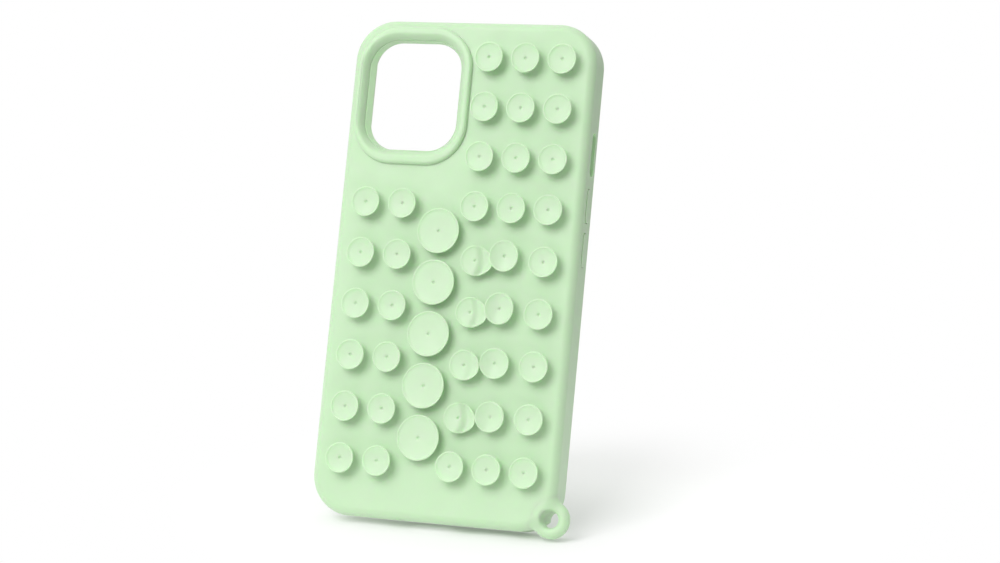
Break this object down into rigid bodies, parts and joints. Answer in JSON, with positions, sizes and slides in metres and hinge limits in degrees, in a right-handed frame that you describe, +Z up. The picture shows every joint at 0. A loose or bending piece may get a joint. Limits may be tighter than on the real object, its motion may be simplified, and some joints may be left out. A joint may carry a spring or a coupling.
{
  "type": "phone case",
  "caption": "Soft silicone phone case with rows of small and large suction cups on its back, a raised rounded camera window, button covers and a lanyard loop at one corner.",
  "frame": {"origin": "centre of the flat floor of the phone pocket, where the back of the phone rests", "axes": "+Z up the case towards its top edge, +Y out of the pocket towards the phone's screen, +X to the right as seen from the suction cups"},
  "size_m": [0.0809, 0.0145, 0.1523],
  "materials": {
    "shell_silicone": "soft matte mint green liquid silicone, moulded",
    "cup_silicone": "soft matte mint green silicone, thin lips with a fine satin rim",
    "button_silicone": "soft matte mint green silicone, moulded"
  },
  "bodies": {
    "shell": {"back_panel": "shell_silicone", "side_frame": "shell_silicone", "front_lip": "shell_silicone", "camera_ring": "shell_silicone", "lanyard_loop": "shell_silicone"},
    "volume_up_cover": {"volume_up_cover": "button_silicone"},
    "volume_down_cover": {"volume_down_cover": "button_silicone"},
    "power_cover": {"power_cover": "button_silicone"},
    "cup_r1_right1": {"cup_r1_right1": "cup_silicone"},
    "cup_r1_right2": {"cup_r1_right2": "cup_silicone"},
    "cup_r1_right3": {"cup_r1_right3": "cup_silicone"},
    "cup_r2_right1": {"cup_r2_right1": "cup_silicone"},
    "cup_r2_right2": {"cup_r2_right2": "cup_silicone"},
    "cup_r2_right3": {"cup_r2_right3": "cup_silicone"},
    "cup_r3_right1": {"cup_r3_right1": "cup_silicone"},
    "cup_r3_right2": {"cup_r3_right2": "cup_silicone"},
    "cup_r3_right3": {"cup_r3_right3": "cup_silicone"},
    "cup_r4_left1": {"cup_r4_left1": "cup_silicone"},
    "cup_r4_left2": {"cup_r4_left2": "cup_silicone"},
    "cup_r4_right1": {"cup_r4_right1": "cup_silicone"},
    "cup_r4_right2": {"cup_r4_right2": "cup_silicone"},
    "cup_r4_right3": {"cup_r4_right3": "cup_silicone"},
    "cup_r5_left1": {"cup_r5_left1": "cup_silicone"},
    "cup_r5_left2": {"cup_r5_left2": "cup_silicone"},
    "cup_r5_right1": {"cup_r5_right1": "cup_silicone"},
    "cup_r5_right2": {"cup_r5_right2": "cup_silicone"},
    "cup_r5_right3": {"cup_r5_right3": "cup_silicone"},
    "cup_r6_left1": {"cup_r6_left1": "cup_silicone"},
    "cup_r6_left2": {"cup_r6_left2": "cup_silicone"},
    "cup_r6_right1": {"cup_r6_right1": "cup_silicone"},
    "cup_r6_right2": {"cup_r6_right2": "cup_silicone"},
    "cup_r6_right3": {"cup_r6_right3": "cup_silicone"},
    "cup_r7_left1": {"cup_r7_left1": "cup_silicone"},
    "cup_r7_left2": {"cup_r7_left2": "cup_silicone"},
    "cup_r7_right1": {"cup_r7_right1": "cup_silicone"},
    "cup_r7_right2": {"cup_r7_right2": "cup_silicone"},
    "cup_r7_right3": {"cup_r7_right3": "cup_silicone"},
    "cup_r8_left1": {"cup_r8_left1": "cup_silicone"},
    "cup_r8_left2": {"cup_r8_left2": "cup_silicone"},
    "cup_r8_right1": {"cup_r8_right1": "cup_silicone"},
    "cup_r8_right2": {"cup_r8_right2": "cup_silicone"},
    "cup_r8_right3": {"cup_r8_right3": "cup_silicone"},
    "cup_r9_left1": {"cup_r9_left1": "cup_silicone"},
    "cup_r9_left2": {"cup_r9_left2": "cup_silicone"},
    "cup_r9_right1": {"cup_r9_right1": "cup_silicone"},
    "cup_r9_right2": {"cup_r9_right2": "cup_silicone"},
    "cup_r9_right3": {"cup_r9_right3": "cup_silicone"},
    "large_cup_1": {"large_cup_1": "cup_silicone"},
    "large_cup_2": {"large_cup_2": "cup_silicone"},
    "large_cup_3": {"large_cup_3": "cup_silicone"},
    "large_cup_4": {"large_cup_4": "cup_silicone"},
    "large_cup_5": {"large_cup_5": "cup_silicone"}
  },
  "joints": [
    {"name": "volume_up_press", "type": "slide", "parent": "shell", "child": "volume_up_cover", "axis": [-1, 0, 0], "range_m": [0, 0.0004], "stiffness_N_per_m": 1500},
    {"name": "volume_down_press", "type": "slide", "parent": "shell", "child": "volume_down_cover", "axis": [-1, 0, 0], "range_m": [0, 0.0004], "stiffness_N_per_m": 1500},
    {"name": "power_press", "type": "slide", "parent": "shell", "child": "power_cover", "axis": [1, 0, 0], "range_m": [0, 0.0004], "stiffness_N_per_m": 1500},
    {"name": "cup_r1_right1_press", "type": "slide", "parent": "shell", "child": "cup_r1_right1", "axis": [0, 1, 0], "range_m": [0, 0.0008], "stiffness_N_per_m": 600},
    {"name": "cup_r1_right2_press", "type": "slide", "parent": "shell", "child": "cup_r1_right2", "axis": [0, 1, 0], "range_m": [0, 0.0008], "stiffness_N_per_m": 600},
    {"name": "cup_r1_right3_press", "type": "slide", "parent": "shell", "child": "cup_r1_right3", "axis": [0, 1, 0], "range_m": [0, 0.0008], "stiffness_N_per_m": 600},
    {"name": "cup_r2_right1_press", "type": "slide", "parent": "shell", "child": "cup_r2_right1", "axis": [0, 1, 0], "range_m": [0, 0.0008], "stiffness_N_per_m": 600},
    {"name": "cup_r2_right2_press", "type": "slide", "parent": "shell", "child": "cup_r2_right2", "axis": [0, 1, 0], "range_m": [0, 0.0008], "stiffness_N_per_m": 600},
    {"name": "cup_r2_right3_press", "type": "slide", "parent": "shell", "child": "cup_r2_right3", "axis": [0, 1, 0], "range_m": [0, 0.0008], "stiffness_N_per_m": 600},
    {"name": "cup_r3_right1_press", "type": "slide", "parent": "shell", "child": "cup_r3_right1", "axis": [0, 1, 0], "range_m": [0, 0.0008], "stiffness_N_per_m": 600},
    {"name": "cup_r3_right2_press", "type": "slide", "parent": "shell", "child": "cup_r3_right2", "axis": [0, 1, 0], "range_m": [0, 0.0008], "stiffness_N_per_m": 600},
    {"name": "cup_r3_right3_press", "type": "slide", "parent": "shell", "child": "cup_r3_right3", "axis": [0, 1, 0], "range_m": [0, 0.0008], "stiffness_N_per_m": 600},
    {"name": "cup_r4_left1_press", "type": "slide", "parent": "shell", "child": "cup_r4_left1", "axis": [0, 1, 0], "range_m": [0, 0.0008], "stiffness_N_per_m": 600},
    {"name": "cup_r4_left2_press", "type": "slide", "parent": "shell", "child": "cup_r4_left2", "axis": [0, 1, 0], "range_m": [0, 0.0008], "stiffness_N_per_m": 600},
    {"name": "cup_r4_right1_press", "type": "slide", "parent": "shell", "child": "cup_r4_right1", "axis": [0, 1, 0], "range_m": [0, 0.0008], "stiffness_N_per_m": 600},
    {"name": "cup_r4_right2_press", "type": "slide", "parent": "shell", "child": "cup_r4_right2", "axis": [0, 1, 0], "range_m": [0, 0.0008], "stiffness_N_per_m": 600},
    {"name": "cup_r4_right3_press", "type": "slide", "parent": "shell", "child": "cup_r4_right3", "axis": [0, 1, 0], "range_m": [0, 0.0008], "stiffness_N_per_m": 600},
    {"name": "cup_r5_left1_press", "type": "slide", "parent": "shell", "child": "cup_r5_left1", "axis": [0, 1, 0], "range_m": [0, 0.0008], "stiffness_N_per_m": 600},
    {"name": "cup_r5_left2_press", "type": "slide", "parent": "shell", "child": "cup_r5_left2", "axis": [0, 1, 0], "range_m": [0, 0.0008], "stiffness_N_per_m": 600},
    {"name": "cup_r5_right1_press", "type": "slide", "parent": "shell", "child": "cup_r5_right1", "axis": [0, 1, 0], "range_m": [0, 0.0008], "stiffness_N_per_m": 600},
    {"name": "cup_r5_right2_press", "type": "slide", "parent": "shell", "child": "cup_r5_right2", "axis": [0, 1, 0], "range_m": [0, 0.0008], "stiffness_N_per_m": 600},
    {"name": "cup_r5_right3_press", "type": "slide", "parent": "shell", "child": "cup_r5_right3", "axis": [0, 1, 0], "range_m": [0, 0.0008], "stiffness_N_per_m": 600},
    {"name": "cup_r6_left1_press", "type": "slide", "parent": "shell", "child": "cup_r6_left1", "axis": [0, 1, 0], "range_m": [0, 0.0008], "stiffness_N_per_m": 600},
    {"name": "cup_r6_left2_press", "type": "slide", "parent": "shell", "child": "cup_r6_left2", "axis": [0, 1, 0], "range_m": [0, 0.0008], "stiffness_N_per_m": 600},
    {"name": "cup_r6_right1_press", "type": "slide", "parent": "shell", "child": "cup_r6_right1", "axis": [0, 1, 0], "range_m": [0, 0.0008], "stiffness_N_per_m": 600},
    {"name": "cup_r6_right2_press", "type": "slide", "parent": "shell", "child": "cup_r6_right2", "axis": [0, 1, 0], "range_m": [0, 0.0008], "stiffness_N_per_m": 600},
    {"name": "cup_r6_right3_press", "type": "slide", "parent": "shell", "child": "cup_r6_right3", "axis": [0, 1, 0], "range_m": [0, 0.0008], "stiffness_N_per_m": 600},
    {"name": "cup_r7_left1_press", "type": "slide", "parent": "shell", "child": "cup_r7_left1", "axis": [0, 1, 0], "range_m": [0, 0.0008], "stiffness_N_per_m": 600},
    {"name": "cup_r7_left2_press", "type": "slide", "parent": "shell", "child": "cup_r7_left2", "axis": [0, 1, 0], "range_m": [0, 0.0008], "stiffness_N_per_m": 600},
    {"name": "cup_r7_right1_press", "type": "slide", "parent": "shell", "child": "cup_r7_right1", "axis": [0, 1, 0], "range_m": [0, 0.0008], "stiffness_N_per_m": 600},
    {"name": "cup_r7_right2_press", "type": "slide", "parent": "shell", "child": "cup_r7_right2", "axis": [0, 1, 0], "range_m": [0, 0.0008], "stiffness_N_per_m": 600},
    {"name": "cup_r7_right3_press", "type": "slide", "parent": "shell", "child": "cup_r7_right3", "axis": [0, 1, 0], "range_m": [0, 0.0008], "stiffness_N_per_m": 600},
    {"name": "cup_r8_left1_press", "type": "slide", "parent": "shell", "child": "cup_r8_left1", "axis": [0, 1, 0], "range_m": [0, 0.0008], "stiffness_N_per_m": 600},
    {"name": "cup_r8_left2_press", "type": "slide", "parent": "shell", "child": "cup_r8_left2", "axis": [0, 1, 0], "range_m": [0, 0.0008], "stiffness_N_per_m": 600},
    {"name": "cup_r8_right1_press", "type": "slide", "parent": "shell", "child": "cup_r8_right1", "axis": [0, 1, 0], "range_m": [0, 0.0008], "stiffness_N_per_m": 600},
    {"name": "cup_r8_right2_press", "type": "slide", "parent": "shell", "child": "cup_r8_right2", "axis": [0, 1, 0], "range_m": [0, 0.0008], "stiffness_N_per_m": 600},
    {"name": "cup_r8_right3_press", "type": "slide", "parent": "shell", "child": "cup_r8_right3", "axis": [0, 1, 0], "range_m": [0, 0.0008], "stiffness_N_per_m": 600},
    {"name": "cup_r9_left1_press", "type": "slide", "parent": "shell", "child": "cup_r9_left1", "axis": [0, 1, 0], "range_m": [0, 0.0008], "stiffness_N_per_m": 600},
    {"name": "cup_r9_left2_press", "type": "slide", "parent": "shell", "child": "cup_r9_left2", "axis": [0, 1, 0], "range_m": [0, 0.0008], "stiffness_N_per_m": 600},
    {"name": "cup_r9_right1_press", "type": "slide", "parent": "shell", "child": "cup_r9_right1", "axis": [0, 1, 0], "range_m": [0, 0.0008], "stiffness_N_per_m": 600},
    {"name": "cup_r9_right2_press", "type": "slide", "parent": "shell", "child": "cup_r9_right2", "axis": [0, 1, 0], "range_m": [0, 0.0008], "stiffness_N_per_m": 600},
    {"name": "cup_r9_right3_press", "type": "slide", "parent": "shell", "child": "cup_r9_right3", "axis": [0, 1, 0], "range_m": [0, 0.0008], "stiffness_N_per_m": 600},
    {"name": "large_cup_1_press", "type": "slide", "parent": "shell", "child": "large_cup_1", "axis": [0, 1, 0], "range_m": [0, 0.0006], "stiffness_N_per_m": 900},
    {"name": "large_cup_2_press", "type": "slide", "parent": "shell", "child": "large_cup_2", "axis": [0, 1, 0], "range_m": [0, 0.0006], "stiffness_N_per_m": 900},
    {"name": "large_cup_3_press", "type": "slide", "parent": "shell", "child": "large_cup_3", "axis": [0, 1, 0], "range_m": [0, 0.0006], "stiffness_N_per_m": 900},
    {"name": "large_cup_4_press", "type": "slide", "parent": "shell", "child": "large_cup_4", "axis": [0, 1, 0], "range_m": [0, 0.0006], "stiffness_N_per_m": 900},
    {"name": "large_cup_5_press", "type": "slide", "parent": "shell", "child": "large_cup_5", "axis": [0, 1, 0], "range_m": [0, 0.0006], "stiffness_N_per_m": 900}
  ]
}
